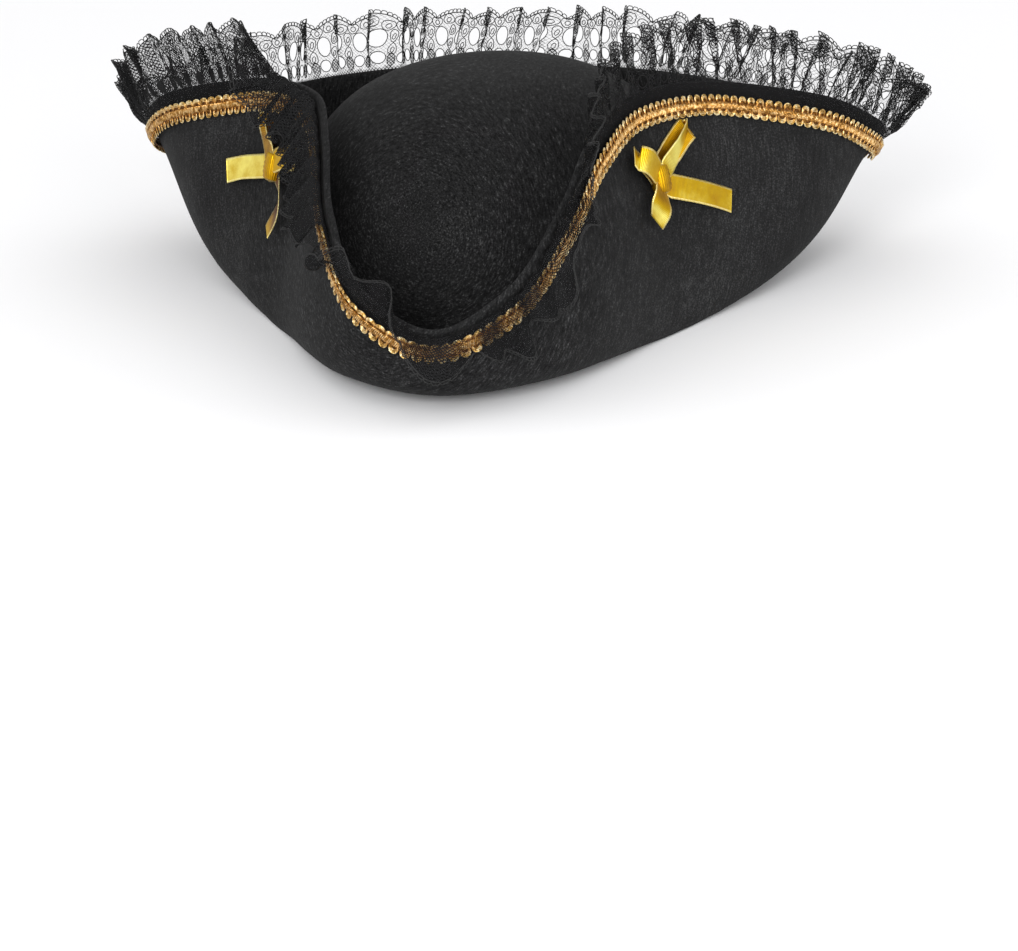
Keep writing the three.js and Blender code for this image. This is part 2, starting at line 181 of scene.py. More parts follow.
def shareBelow(around, below):
    # the share of the brim's curve that lies a length below its edge, measured along the felt
    steps = 121
    shares = np.linspace(1, 0, steps)
    around, below = (np.atleast_1d(np.asarray(value, float)) for value in (around, below))
    around, below = np.broadcast_arrays(around, below)
    walk = brimPoint(around[..., None], shares)
    length = np.cumsum(np.linalg.norm(np.diff(walk, axis=-2), axis=-1), axis=-1)
    length = np.concatenate([np.zeros(around.shape + (1,)), length], -1)
    flat = [np.interp(want, row, shares) for want, row in zip(below.ravel(), length.reshape(-1, steps))]
    return np.array(flat).reshape(around.shape)


def facePoint(around, below, out):
    # a point set off from the middle of the felt, out of its outer face
    share = shareBelow(around, below)
    normal = outerNormal(around, share)
    return brimPoint(around, share) + normal * np.asarray(out)[..., None], normal


def equalAngles(count):
    # the angles that cut the brim's edge into equal lengths, and the length of the edge
    around = np.linspace(0, 360, 2881)
    length = np.concatenate([[0], np.cumsum(np.linalg.norm(np.diff(brimPoint(around, 1.0), axis=0), axis=1))])
    return np.interp(np.arange(count) / count * length[-1], length, around), length[-1]


def packedFeltMiddle():
    # middle of the brim's box on the part's own stations, before the part is moved to its place
    marks = equalAngles(hat["packedStations"])[0]
    low, high = shareBelow(marks, hat["packedLow"]), shareBelow(marks, hat["packedHigh"])
    shares = np.stack([low * part for part in hat["packedShares"]] + [high, np.ones_like(high)], -1)
    grid = np.broadcast_to(marks[:, None], shares.shape)
    reach = outerNormal(grid, shares) * hat["wall"] / 2
    middle = brimPoint(grid, shares)
    corners = np.concatenate([middle + reach, middle - reach]).reshape(-1, 3)
    return (corners.min(0) + corners.max(0)) / 2


feltLow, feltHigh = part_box("felt_body")
feltMiddle = packedFeltMiddle()
seat = np.array([
    (feltLow.x + feltHigh.x) * 500 - feltMiddle[0],
    (feltLow.y + feltHigh.y) * 500 - feltMiddle[1],
    hat["wall"] / 2,
])
print("seat", seat.round(3))


def linked(name, data):
    item = bpy.data.objects.new(name, data)
    bpy.context.scene.collection.objects.link(item)
    return item


def meshObject(name, points, faces, material, layers=None):
    # points in the model's millimetres; layers are named values per point
    mesh = bpy.data.meshes.new(name)
    metres = (np.asarray(points) + seat) / 1000
    mesh.from_pydata(metres.tolist(), [], [list(map(int, face)) for face in faces])
    corner = np.zeros(len(mesh.loops), int)
    mesh.loops.foreach_get("vertex_index", corner)
    for label, values in (layers or {}).items():
        if values.ndim == 2:
            mesh.uv_layers.new(name=label).data.foreach_set("uv", values[corner].ravel())
        else:
            mesh.attributes.new(label, "FLOAT", "POINT").data.foreach_set("value", values)
    mesh.polygons.foreach_set("use_smooth", [True] * len(mesh.polygons))
    mesh.materials.append(material)
    mesh.update()
    return linked(name, mesh)


def gridFaces(rows, columns, closeRows=False, closeColumns=False, flip=False):
    i = np.arange(rows if closeRows else rows - 1)[:, None]
    j = np.arange(columns if closeColumns else columns - 1)[None, :]
    a = i * columns + j
    b = i * columns + (j + 1) % columns
    c = (i + 1) % rows * columns + (j + 1) % columns
    d = (i + 1) % rows * columns + j
    faces = np.stack([a, b, c, d], -1).reshape(-1, 4)
    return faces[:, ::-1] if flip else faces


# node building
class Wire:
    # a socket that takes part in sums
    def __init__(self, graph, socket):
        self.graph = graph
        self.socket = socket

    def maths(self, operation, other=None, flipped=False):
        pair = (other, self) if flipped else (self, other)
        sockets = {i: value for i, value in enumerate(pair) if value is not None}
        return self.graph.add("ShaderNodeMath", dict(operation=operation), sockets)

    def also(self, name):
        return Wire(self.graph, self.socket.node.outputs[name])

    def __add__(self, other):
        return self.maths("ADD", other)

    def __sub__(self, other):
        return self.maths("SUBTRACT", other)

    def __rsub__(self, other):
        return self.maths("SUBTRACT", other, True)

    def __mul__(self, other):
        return self.maths("MULTIPLY", other)

    def __truediv__(self, other):
        return self.maths("DIVIDE", other)

    def __mod__(self, other):
        return self.maths("FLOORED_MODULO", other)

    def __pow__(self, other):
        return self.maths("POWER", other)

    def __gt__(self, other):
        return self.maths("GREATER_THAN", other)

    def __lt__(self, other):
        return self.maths("LESS_THAN", other)

    __radd__ = __add__
    __rmul__ = __mul__

    def sine(self):
        return self.maths("SINE")

    def cosine(self):
        return self.maths("COSINE")


class Graph:
    def __init__(self, tree):
        self.tree = tree

    def add(self, kind, settings=None, sockets=None, out=0):
        node = self.tree.nodes.new(kind)
        for name, value in (settings or {}).items():
            if name == "stops":
                self.setStops(node.color_ramp, value)
            else:
                setattr(node, name, value)
        for key, value in (sockets or {}).items():
            target = node.inputs[key]
            if isinstance(value, list):
                for wire in value:
                    self.tree.links.new(wire.socket, target)
            elif isinstance(value, Wire):
                self.tree.links.new(value.socket, target)
            else:
                target.default_value = value
        return Wire(self, node.outputs[out])

    def setStops(self, scale, stops):
        while len(scale.elements) < len(stops):
            scale.elements.new(0.5)
        for element, (place, color) in zip(scale.elements, stops):
            element.position = place
            element.color = (*color, 1)


def material(name):
    item = bpy.data.materials.new(name)
    item.use_nodes = True
    item.node_tree.nodes.clear()
    return item, Graph(item.node_tree)


def finishMaterial(graph, **sockets):
    named = {key.replace("_", " "): value for key, value in sockets.items()}
    shader = graph.add("ShaderNodeBsdfPrincipled", None, named)
    output = graph.tree.nodes.new("ShaderNodeOutputMaterial")
    graph.tree.links.new(shader.socket, output.inputs["Surface"])


def colorMix(graph, factor, a, b):
    return graph.add("ShaderNodeMix", dict(data_type="RGBA"), {0: factor, 6: a, 7: b}, 2)


def rgba(r, g, b):
    return (r, g, b, 1.0)


def objectPlace(graph):
    return graph.add("ShaderNodeTexCoord", None, None, "Object")


def attribute(graph, name):
    return graph.add("ShaderNodeAttribute", dict(attribute_name=name), None, "Fac")


def noise(graph, place, scale, detail=2, roughness=0.5):
    sockets = {"Vector": place, "Scale": scale, "Detail": detail, "Roughness": roughness}
    return graph.add("ShaderNodeTexNoise", None, sockets)


def ramp(graph, value, *stops):
    return graph.add("ShaderNodeValToRGB", dict(stops=stops), {0: value})


def relief(graph, strength, distance, height):
    return graph.add("ShaderNodeBump", None, {"Strength": strength, "Distance": distance, "Height": height})


def clamp(graph, value):
    return graph.add("ShaderNodeClamp", None, {0: value})


def apart(graph, vector):
    return graph.add("ShaderNodeSeparateXYZ", None, {0: vector})


def together(graph, x, y=0.0, z=0.0):
    return graph.add("ShaderNodeCombineXYZ", None, {0: x, 1: y, 2: z})


def treeOf(name, inputs):
    # a geometry tree with named inputs, each (label, socket type, value)
    tree = bpy.data.node_groups.new(name, "GeometryNodeTree")
    for label, kind, _ in inputs:
        tree.interface.new_socket(label, in_out="INPUT", socket_type="NodeSocket" + kind)
    tree.interface.new_socket("Geometry", in_out="OUTPUT", socket_type="NodeSocketGeometry")
    start = tree.nodes.new("NodeGroupInput")
    graph = Graph(tree)
    return graph, {label: Wire(graph, start.outputs[label]) for label, _, _ in inputs}


def painted(graph, geometry, surface):
    return graph.add("GeometryNodeSetMaterial", None, {"Geometry": geometry, "Material": surface})


def endTree(graph, geometry):
    real = graph.add("GeometryNodeRealizeInstances", None, {0: geometry})
    end = graph.tree.nodes.new("NodeGroupOutput")
    graph.tree.links.new(real.socket, end.inputs[0])


def sampled(graph, guide, value, spot):
    # a value read from the guide where its UV map "flat" says spot
    flat = graph.add("GeometryNodeInputNamedAttribute", dict(data_type="FLOAT_VECTOR"), {"Name": "flat"})
    sockets = {"Mesh": guide, "Value": value, "Source UV Map": flat, "Sample UV": spot}
    return graph.add("GeometryNodeSampleUVSurface", dict(data_type="FLOAT_VECTOR"), sockets)


def closedCurve(graph, line, position):
    moved = graph.add("GeometryNodeSetPosition", None, {"Geometry": line, "Position": position})
    curve = graph.add("GeometryNodeMeshToCurve", None, {"Mesh": moved})
    return graph.add("GeometryNodeSetSplineCyclic", None, {"Geometry": curve, "Cyclic": True})


def circle(graph, sides, radius=1.0):
    return graph.add("GeometryNodeCurvePrimitiveCircle", None, {"Resolution": sides, "Radius": radius})


def tube(graph, curve, radius, sides=3):
    profile = circle(graph, sides, radius)
    return graph.add("GeometryNodeCurveToMesh", None, {"Curve": curve, "Profile Curve": profile})


def guideObject(name, points, u, v, flip=False):
    # a hidden sheet that carries the flat pattern to its place
    flat = np.stack(np.broadcast_arrays(u, v), -1).reshape(-1, 2)
    faces = gridFaces(*points.shape[:2], flip=flip)
    return meshObject(name, points.reshape(-1, 3), faces, bpy.data.materials.new("guide"), dict(flat=flat))


def grown(name, graph, inputs):
    # the tree's result as a plain mesh object
    carrier = linked(name + "Carrier", bpy.data.meshes.new(name + "Carrier"))
    modifier = carrier.modifiers.new("Grow", "NODES")
    modifier.node_group = graph.tree
    items = graph.tree.interface.items_tree
    sockets = {item.name: item.identifier for item in items if item.in_out == "INPUT"}
    for label, _, value in inputs:
        modifier[sockets[label]] = value
    bpy.context.view_layer.update()
    evaluated = carrier.evaluated_get(bpy.context.evaluated_depsgraph_get())
    mesh = bpy.data.meshes.new_from_object(evaluated)
    mesh.name = name
    carrier.modifiers.remove(modifier)
    bpy.data.objects.remove(carrier)
    mesh.polygons.foreach_set("use_smooth", [True] * len(mesh.polygons))
    print(name, len(mesh.polygons), "faces")
    return linked(name, mesh)


# felt
feltLook = dict(
    dark=(0.003, 0.003, 0.0031),
    mid=(0.015, 0.015, 0.0153),
    light=(0.075, 0.075, 0.076),
    swirl=(-0.019, 0.052),  # middle of the nap's swirl, x and z in metres
    crownReach=0.095,  # metres from there
)


def feltMaterial():
    item, graph = material("blackFelt")
    place = objectPlace(graph)
    split = apart(graph, place)
    x = split - feltLook["swirl"][0]
    z = split.also("Z") - feltLook["swirl"][1]
    radius = (x * x + z * z) ** 0.5
    nap = together(graph, radius * 1500, z.maths("ARCTAN2", x) * 15, split.also("Y") * 300)
    fibres = noise(graph, nap, 1, 3, 0.62)
    specks = noise(graph, place, 1500, 2, 0.6)
    patches = noise(graph, place, 34, 3, 0.55)
    # the nap shows most on the crown; painted shade darkens the crown a little, and more towards its top,
    # against the light that falls on it from above
    onCrown = clamp(graph, (feltLook["crownReach"] - radius) * 40)
    streaks = 0.26 + 0.42 * onCrown
    shade = (fibres - 0.5) * streaks + (specks - 0.5) * 0.47 + patches * 0.16 + 0.42
    shade = shade - onCrown * 0.03 - clamp(graph, z) * onCrown
    tone = ramp(graph, shade, (0.3, feltLook["dark"]), (0.52, feltLook["mid"]), (0.74, feltLook["light"]))
    finishMaterial(
        graph,
        Base_Color=tone,
        Roughness=0.95,
        Normal=relief(graph, 0.4, 0.0006, fibres * streaks + specks * 0.4),
        Specular_IOR_Level=0.06,
        Sheen_Weight=0.02,
        Sheen_Roughness=0.5,
    )
    return item


def crownRows(outside):
    # rows of the dome from its top to the brim, as how far out, how high and how much the oval has grown
    half = hat["wall"] / 2 if outside else -hat["wall"] / 2
    fillet = hat["crownFillet"] if outside else hat["crownFillet"] + hat["wall"]
    power = 2 / hat["crownSquareness"]
    rows = []
    lowest = fillet / hat["crownHeight"]
    for ring in np.linspace(1, 0, hat["crownRings"] + 1)[1:]:
        angle = math.radians(90 * ring**1.15)
        lift = max(math.sin(angle) ** power, 0)
        if lift > lowest:
            rows.append((math.cos(angle) ** power, half + hat["crownHeight"] * lift, half))
    for step in range(hat["filletRings"]):
        angle = math.radians(90 * step / hat["filletRings"])
        rows.append((1.0, half + fillet * (1 - math.sin(angle)), half + fillet * (1 - math.cos(angle))))
    return rows


def makeFelt():
    around = np.arange(hat["stations"]) * 360 / hat["stations"]
    half = hat["wall"] / 2

    def dome(rows):
        rings = [ovalPoint(around, grow) * spread + [0, 0, lift] for spread, lift, grow in rows]
        return np.stack(rings, 1)

    shares = np.linspace(0, 1, hat["brimRings"]) ** 0.94
    grid = np.broadcast_to(around[:, None], (len(around), len(shares)))
    middle = brimPoint(grid, shares)
    normal = outerNormal(grid, np.broadcast_to(shares, grid.shape))
    edge, edgeNormal = middle[:, -1], normal[:, -1]
    past = unit(middle[:, -1] - middle[:, -2])
    # the edge is rounded off by three rows of points
    turns = np.radians([35, 90, 145])
    nose = np.stack([edge + half * (past * math.sin(a) * 0.55 - edgeNormal * math.cos(a)) for a in turns], 1)
    upper, lower = middle - normal * half, (middle + normal * half)[:, ::-1]
    sections = np.concatenate([dome(crownRows(True)), upper, nose, lower, dome(crownRows(False))[:, ::-1]], 1)
    count, length = sections.shape[:2]
    faces = gridFaces(count, length, closeRows=True).tolist()
    top, bottom = count * length, count * length + 1
    for i in range(count):
        after = (i + 1) % count
        faces.append([top, i * length, after * length])
        faces.append([bottom, after * length + length - 1, i * length + length - 1])
    poles = [[0, 0, hat["crownHeight"] + half], [0, 0, hat["crownHeight"] - half]]
    return meshObject("felt", np.concatenate([sections.reshape(-1, 3), poles]), faces, feltMaterial())


felt = makeFelt()
print("felt made")

# stations along the edge, twelve to a pleat of the lace
edgeStations = hat["packedStations"] * 12
stationAngles, edgeLength = equalAngles(edgeStations)
print("edge length", round(edgeLength, 1))

# gimp braid
braid = dict(
    margin=4.5,
    width=9.5,
    seatHeight=3.25,  # from the middle of the felt, over the lace
    baseThickness=0.5,
    baseWidth=5.6,
    loopPitch=4.4,
    loopSwing=1.05,
    cordRadius=0.31,
    cordGap=0.66,
    cordRise=0.8,
    stepsPerLoop=16,
    twistReach=1.45,
    # gold with painted shade for the braid's middle, and gold with painted highlights for the loops' outer
    # arcs
    middleGoldShaded=[(0.34, (0.04, 0.01, 0.001)), (0.5, (0.36, 0.13, 0.013)), (0.64, (0.8, 0.46, 0.12))],
    outerGoldHighlit=[(0.34, (0.16, 0.07, 0.012)), (0.49, (0.72, 0.46, 0.125)), (0.6, (1.0, 0.91, 0.6))],
)


def goldCordMaterial():
    item, graph = material("gimpCord")
    place = objectPlace(graph)
    strands = noise(graph, place, 700, 2, 0.7)
    shade = strands * 0.8 + noise(graph, place, 60) * 0.2
    middle, outer = (ramp(graph, shade, *stops) for stops in (braid["middleGoldShaded"], braid["outerGoldHighlit"]))
    # painted light: each cord's stored amount mixes the shaded gold towards the highlit gold
    tone = colorMix(graph, attribute(graph, "across"), middle, outer)
    wound = relief(graph, 0.6, 0.0003, strands)
    finishMaterial(graph, Base_Color=tone, Metallic=0.85, Roughness=0.3, Normal=wound)
    return item


def goldBaseMaterial():
    item, graph = material("gimpBase")
    weave = noise(graph, objectPlace(graph), 900, 2, 0.6)
    tone = ramp(graph, weave, (0.3, (0.03, 0.01, 0.002)), (0.7, (0.34, 0.13, 0.018)))
    woven = relief(graph, 0.6, 0.0004, weave)
    finishMaterial(graph, Base_Color=tone, Metallic=0.5, Roughness=0.5, Normal=woven)
    return item


def bandGrid(out, low, high, rows):
    # points of a band on the outer face, from its lower border to its upper one
    below = np.linspace(high, low, rows)
    grid = np.broadcast_to(stationAngles[:, None], (edgeStations, rows))
    return facePoint(grid, np.broadcast_to(below, grid.shape), np.full(grid.shape, out))[0]


def makeBraid():
    margin, width, seatHeight = braid["margin"], braid["width"], braid["seatHeight"]
    inset = (width - braid["baseWidth"]) / 2
    low = bandGrid(seatHeight, margin + inset, margin + width - inset, 4)
    high = bandGrid(seatHeight + braid["baseThickness"], margin + inset, margin + width - inset, 4)
    ring = np.concatenate([low, high[:, ::-1]], 1)
    faces = gridFaces(edgeStations, 8, True, True)
    base = meshObject("braid_base", ring.reshape(-1, 3), faces, goldBaseMaterial())

    # a guide whose UV runs once round the edge and once across the braid
    points = bandGrid(seatHeight, margin, margin + width, 7)
    points = np.concatenate([points, points[:1]], 0)
    u = np.linspace(0, 1, edgeStations + 1)[:, None]
    guide = guideObject("braidGuide", points, u, np.linspace(0, 1, 7), True)
    inputs = [
        ("Guide", "Object", guide),
        ("Loops", "Int", round(edgeLength / braid["loopPitch"])),
        ("Steps", "Int", braid["stepsPerLoop"]),
        ("Half Width", "Float", (width / 2 - braid["cordGap"] * 0.9 - braid["cordRadius"]) / width),
        ("Swing", "Float", braid["loopSwing"] / braid["loopPitch"]),
        ("Cord Gap", "Float", braid["cordGap"] / width),
        ("Cord Radius", "Float", braid["cordRadius"] / 1000),
        ("Twist", "Float", braid["twistReach"] / width),
        ("Seat", "Float", (braid["baseThickness"] + braid["cordRadius"] * 0.6) / 1000),
        ("Rise", "Float", braid["cordRise"] / 1000),
    ]
    graph, given = treeOf("gimpCords", inputs)
    source = graph.add("GeometryNodeObjectInfo", None, {"Object": given["Guide"]}, "Geometry")
    index = graph.add("GeometryNodeInputIndex")
    theta = index / given["Steps"] * (2 * math.pi)
    position = graph.add("GeometryNodeInputPosition")
    facing = graph.add("GeometryNodeInputNormal")

    def cordOn(spot, lift, tone):
        # a cord laid on the guide, lifted off it, with its painted light kept for the material
        line = graph.add("GeometryNodeMeshLine", None, {"Count": given["Loops"] * given["Steps"]})
        place, normal = (sampled(graph, source, value, spot) for value in (position, facing))
        raised = graph.add("ShaderNodeVectorMath", dict(operation="SCALE"), {0: normal, "Scale": lift})
        placed = graph.add("ShaderNodeVectorMath", dict(operation="ADD"), {0: place, 1: raised})
        marked = graph.add(
            "GeometryNodeStoreNamedAttribute",
            dict(data_type="FLOAT", domain="POINT"),
            {"Geometry": line, "Name": "across", "Value": clamp(graph, tone)},
        )
        return tube(graph, closedCurve(graph, marked, placed), given["Cord Radius"], 4)

    cords = []
    # three cords side by side swing in loops across the whole width
    for k in (-1, 0, 1):
        across = theta.sine() * (given["Half Width"] + given["Cord Gap"] * k) + 0.5
        swing = given["Swing"] + given["Cord Gap"] * (0.5 * k)
        along = ((theta / (2 * math.pi) - (theta * 2).sine() * swing) / given["Loops"]) % 1.0
        lift = given["Seat"] + given["Rise"] * ((theta + 0.3 * k).cosine() * 0.5 + 0.5)
        # painted light: pale highlights towards the loops' outer arcs, painted shade towards the middle
        tone = (across - 0.5).maths("ABSOLUTE") * 3.2 - 0.5
        cords.append(cordOn(together(graph, along, across), lift, tone))
    # three more are plaited along the middle
    for k in (0, 1, 2):
        wave = theta * 2 + 2 * math.pi / 3 * k
        along = (theta / (2 * math.pi) / given["Loops"]) % 1.0
        lift = given["Seat"] + given["Rise"] * (wave.cosine() * 0.5 + 1.0)
        spot = together(graph, along, wave.sine() * given["Twist"] + 0.5)
        # painted light: the plaited cords are lighter where they ride high, with painted shade where they dip
        # under
        cords.append(cordOn(spot, lift, wave.cosine() * 0.25 + 0.1))
    joined = graph.add("GeometryNodeJoinGeometry", None, {0: cords})
    endTree(graph, painted(graph, joined, goldCordMaterial()))
    cords = grown("gimp_cords", graph, inputs)
    bpy.data.objects.remove(guide)
    return base, cords


braidBase, gimpCords = makeBraid()
print("braid made")

# lace ruffle
lace = dict(
    middle=2.25,  # from the middle of the felt
    width=33,
    guideWidth=39.5,
    tuck=3.5,
    bend=7,
    lift=0.5,
    rise=1.2,
    pleats=84,
    pleatDepth=5.0,
    clothPerPleat=20.0,
    crumple=0.4,
    columnsPerPleat=18,
    rows=30,
    thickness=0.22,
    edge=28.8,
    scallop=5.2,
    scallopShift=0.1,
    edgeSteps=16,
    outlineRadius=0.23,
    edgeRadius=0.28,
    picotRadius=0.24,
    picots=12,
    picotSteps=5,
    patternFrom=6,  # the pleats with a pattern; the others are plain net
    patternTo=78,
    netPitch=3.2,
    openUntil=0.625,  # share of the edge past which the cells are shut
    seed=7,
)

# share of the edge and how far the lace falls, from standing up (0) to lying on the outer face (180)
fallTable = [
    (0, 60), (0.014, 150), (0.035, 158), (0.048, 145), (0.062, 60), (0.09, 30), (0.108, 10),
    (0.25, 4), (0.31, -14), (0.4, 4), (0.5, 0), (0.6, 4), (0.69, -18), (0.795, 6),
    (0.83, 150), (0.87, 157), (0.947, 150), (0.97, 0), (0.985, -22), (1.0, 60),
]

# share of the edge and how far the free cloth hangs, in the front lobes and the bunches between them
lobeTable = [
    (0, 0.5), (0.007, 0.8), (0.014, 0.35), (0.021, 0.75), (0.031, 1.05), (0.038, 0.5),
    (0.047, 0.95), (0.056, 0.5), (0.07, 1.0), (0.93, 1.0), (0.941, 0.45), (0.953, 0.38),
    (0.961, 0.35), (0.971, 1.05), (0.98, 0.4), (0.989, 0.7), (1, 0.4),
]

# share of the edge and how close the gathers lie
gatherTable = [
    (0, 1.4), (0.16, 0.7), (0.22, 0.5), (0.34, 0.6), (0.38, 0.5),
    (0.6, 0.5), (0.65, 2.4), (0.9, 2.6), (1, 1.4),
]

# share of the edge and how far the pattern has given way to plain net, and how close that net is
plainTable = [(0, 1), (0.064, 1), (0.085, 0), (0.815, 0), (0.835, 0.8), (0.94, 0.9), (0.955, 1), (1, 1)]
plainClose = [(0, 0.42), (0.08, 0.4), (0.82, 0.85), (0.93, 0.6), (0.95, 0.2), (0.985, 0.2), (1, 0.42)]

# one pleat of open cloth: share of its cloth, share of its pitch, depth
pleatShape = [
    (0.0, 0.0, -0.5), (0.06, 0.06, -0.5), (0.3, 0.36, -0.18), (0.55, 0.7, 0.12), (0.7, 0.97, 0.4),
    (0.77, 1.1, 0.5), (0.81, 1.16, 0.44), (0.89, 1.07, 0.0), (0.97, 0.99, -0.44), (1.0, 1.0, -0.5),
]

# cells of one pattern repeat: along, up, half width, half height, turn, kind
laceCells = [
    (2.4, 28.3, 2.3, 2.3, 20, "net"),
    (7.4, 30.2, 2.4, 2.4, 8, "net"),
    (12.6, 30.2, 2.4, 2.4, -8, "net"),
    (17.6, 28.3, 2.3, 2.3, -20, "net"),
    (5.2, 22.4, 2.9, 4.2, 8, "open"),
    (14.8, 21.8, 3.1, 4.5, -8, "open"),
    (10.0, 25.2, 1.4, 2.5, 0, "net"),
    (0.0, 23.6, 1.5, 3.0, 0, "net"),
    (10.0, 18.9, 1.4, 2.6, 0, "net"),
    (0.0, 17.2, 1.7, 2.6, 0, "net"),
    (5.0, 13.4, 2.8, 2.8, -8, "open"),
    (15.0, 13.0, 2.8, 2.7, 8, "open"),
    (10.0, 12.6, 1.6, 3.1, 0, "solid"),
    (0.0, 12.2, 1.7, 3.0, 0, "solid"),
]


def eased(part):
    return part * part * (3 - 2 * part)


def tableAt(table, share):
    # a value eased from row to row
    table = np.array(table, float)
    share = np.mod(share, 1)
    here = np.clip(np.searchsorted(table[:, 0], share, side="right") - 1, 0, len(table) - 2)
    part = (share - table[here, 0]) / (table[here + 1, 0] - table[here, 0])
    return lerp(table[here, 1], table[here + 1, 1], eased(part))


def laceStations():
    around = stationAngles
    edge = brimPoint(around, 1.0)
    along = unit(brimPoint(around + 1, 1.0) - brimPoint(around - 1, 1.0))
    outward = outerNormal(around, np.ones_like(around))
    past = unit(np.cross(outward, along))
    high = facePoint(around, braid["margin"], np.full(len(around), lace["middle"]))[0]
    low = facePoint(around, braid["margin"] + braid["width"], np.full(len(around), lace["middle"]))[0]
    root = lerp(high, low, lace["tuck"] / braid["width"])
    return dict(edge=edge, along=along, outward=outward, past=past, high=high, root=root)


edgeFrames = laceStations()


def frameAt(place):
    # the edge's frame at a place given in pleats
    spot = np.mod(place, lace["pleats"]) / lace["pleats"] * edgeStations
    whole = np.floor(spot).astype(int) % edgeStations
    part = (spot - np.floor(spot))[..., None]
    after = (whole + 1) % edgeStations
    return {key: lerp(values[whole], values[after], part) for key, values in edgeFrames.items()}


laceRandom = np.random.default_rng(lace["seed"])


def eachPleat(low, high):
    return laceRandom.uniform(low, high, lace["pleats"])


# pleats of uneven width that still close on themselves
pleatStarts = np.arange(lace["pleats"]) + eachPleat(-0.2, 0.2)
clothStarts = np.arange(lace["pleats"]) + 0.5 + eachPleat(-0.3, 0.3)
pleatLean = eachPleat(-0.7, -0.15)
pleatDeep = eachPleat(0.75, 1.2)
pleatTilt = eachPleat(-7, 7)
pleatCover = eachPleat(0.1, 2.1)


def cyclic(values, place):
    # smooth reading between pleats
    whole = np.floor(place).astype(int)
    return lerp(values[whole % len(values)], values[(whole + 1) % len(values)], eased(place - whole))


def pleatOf(cloth):
    # which pleat a place on the strip belongs to, and how far along its cloth it lies
    count = lace["pleats"]
    rounds = np.floor((cloth - clothStarts[0]) / count).astype(int)
    inRound = cloth - rounds * count
    index = np.searchsorted(clothStarts, inRound, side="right") - 1
    wrapped = np.append(clothStarts, clothStarts[0] + count)
    return rounds, index, (inRound - wrapped[index]) / (wrapped[index + 1] - wrapped[index])


def lacePoint(cloth, up):
    # cloth is the place along the strip in pleats, up the height on the strip in millimetres
    count, tuck, bend, margin = lace["pleats"], lace["tuck"], lace["bend"], braid["margin"]
    rounds, index, part = pleatOf(cloth)
    shape = np.array(pleatShape)
    spread = np.interp(part, shape[:, 0], shape[:, 1])
    depth = np.interp(part, shape[:, 0], shape[:, 2])
    wavy = tableAt(plainTable, cloth / count)
    spread = lerp(spread, part, wavy)
    depth = lerp(depth, np.sin(2 * math.pi * part - 1.6) * 0.55, wavy)
    wrappedPitch = np.append(pleatStarts, pleatStarts[0] + count) + 0.5
    start = wrappedPitch[index] + rounds * count
    after = wrappedPitch[index + 1] + rounds * count

    fall = np.radians(tableAt(fallTable, cloth / count) + cyclic(pleatTilt, cloth + 0.5))
    outside = np.clip(fall / math.pi, 0, 1)
    rise = lerp(lace["rise"], -margin / 2, outside)
    edgeUp = tuck + margin + rise
    bendUp = edgeUp + bend
    free = lace["width"] - bendUp
    # in front the cloth is bunched up between its lobes
    over = (up - bendUp) * tableAt(lobeTable, cloth / count)
    full = np.where(
        up < tuck,
        0.0,
        np.where(
            up < edgeUp,
            0.1 * (up - tuck) / (edgeUp - tuck),
            np.where(
                up < bendUp,
                lerp(0.1, 0.6, (up - edgeUp) / bend),
                np.interp(over / free, [0, 0.42, 1], [0.6, 0.85, 1.0]),
            ),
        ),
    )
    lean = cyclic(pleatLean, cloth) * np.clip((up - edgeUp) / (lace["width"] - edgeUp), 0, 1.2)
    place = lerp(start, after, lerp(part, spread, full)) + lean
    there = frameAt(place)
    edge, outward, past, high = (there[key] for key in ("edge", "outward", "past", "high"))
    seatPoint = edge + past * rise[..., None] + outward * (lace["middle"] + lace["lift"])

    low = lerp(there["root"], high, np.clip(up / tuck, 0, 1)[..., None])
    pastRoot = np.clip((up - tuck) / (edgeUp - tuck), 0, 1)
    rim = lerp(high, seatPoint, pastRoot[..., None])
    inBend = np.clip((up - edgeUp) / bend, 0, 1)
    turned = fall * inBend
    arc = np.clip(up - edgeUp, 0, bend)
    safe = np.where(np.abs(turned) < 1e-4, 1e-4, turned)
    forward = arc * np.sin(safe) / safe + np.maximum(over, 0) * np.cos(fall)
    sideways = arc * (1 - np.cos(safe)) / safe + np.maximum(over, 0) * np.sin(fall)
    body = seatPoint + past * forward[..., None] + outward * sideways[..., None]
    deep = -past * np.sin(turned)[..., None] + outward * np.cos(turned)[..., None]
    amount = lace["pleatDepth"] * full * cyclic(pleatDeep, cloth)
    ground = np.where((up < edgeUp)[..., None], np.where((up < tuck)[..., None], low, rim), body)
    swing = np.where(up < edgeUp, depth + 0.5, lerp(depth + 0.5, depth, inBend))
    # small crumples, none at the root
    crumple = np.sin(cloth * 23.3 + up * 0.25 + 1.4 * np.sin(cloth * 5.1))
    crumple = crumple + 0.6 * np.sin(cloth * 41.9 - up * 0.4)
    crumple = crumple * lace["crumple"] * np.clip((up - tuck - 3) / 10, 0, 1)
    return ground + deep * (swing * amount + np.abs(crumple))[..., None]


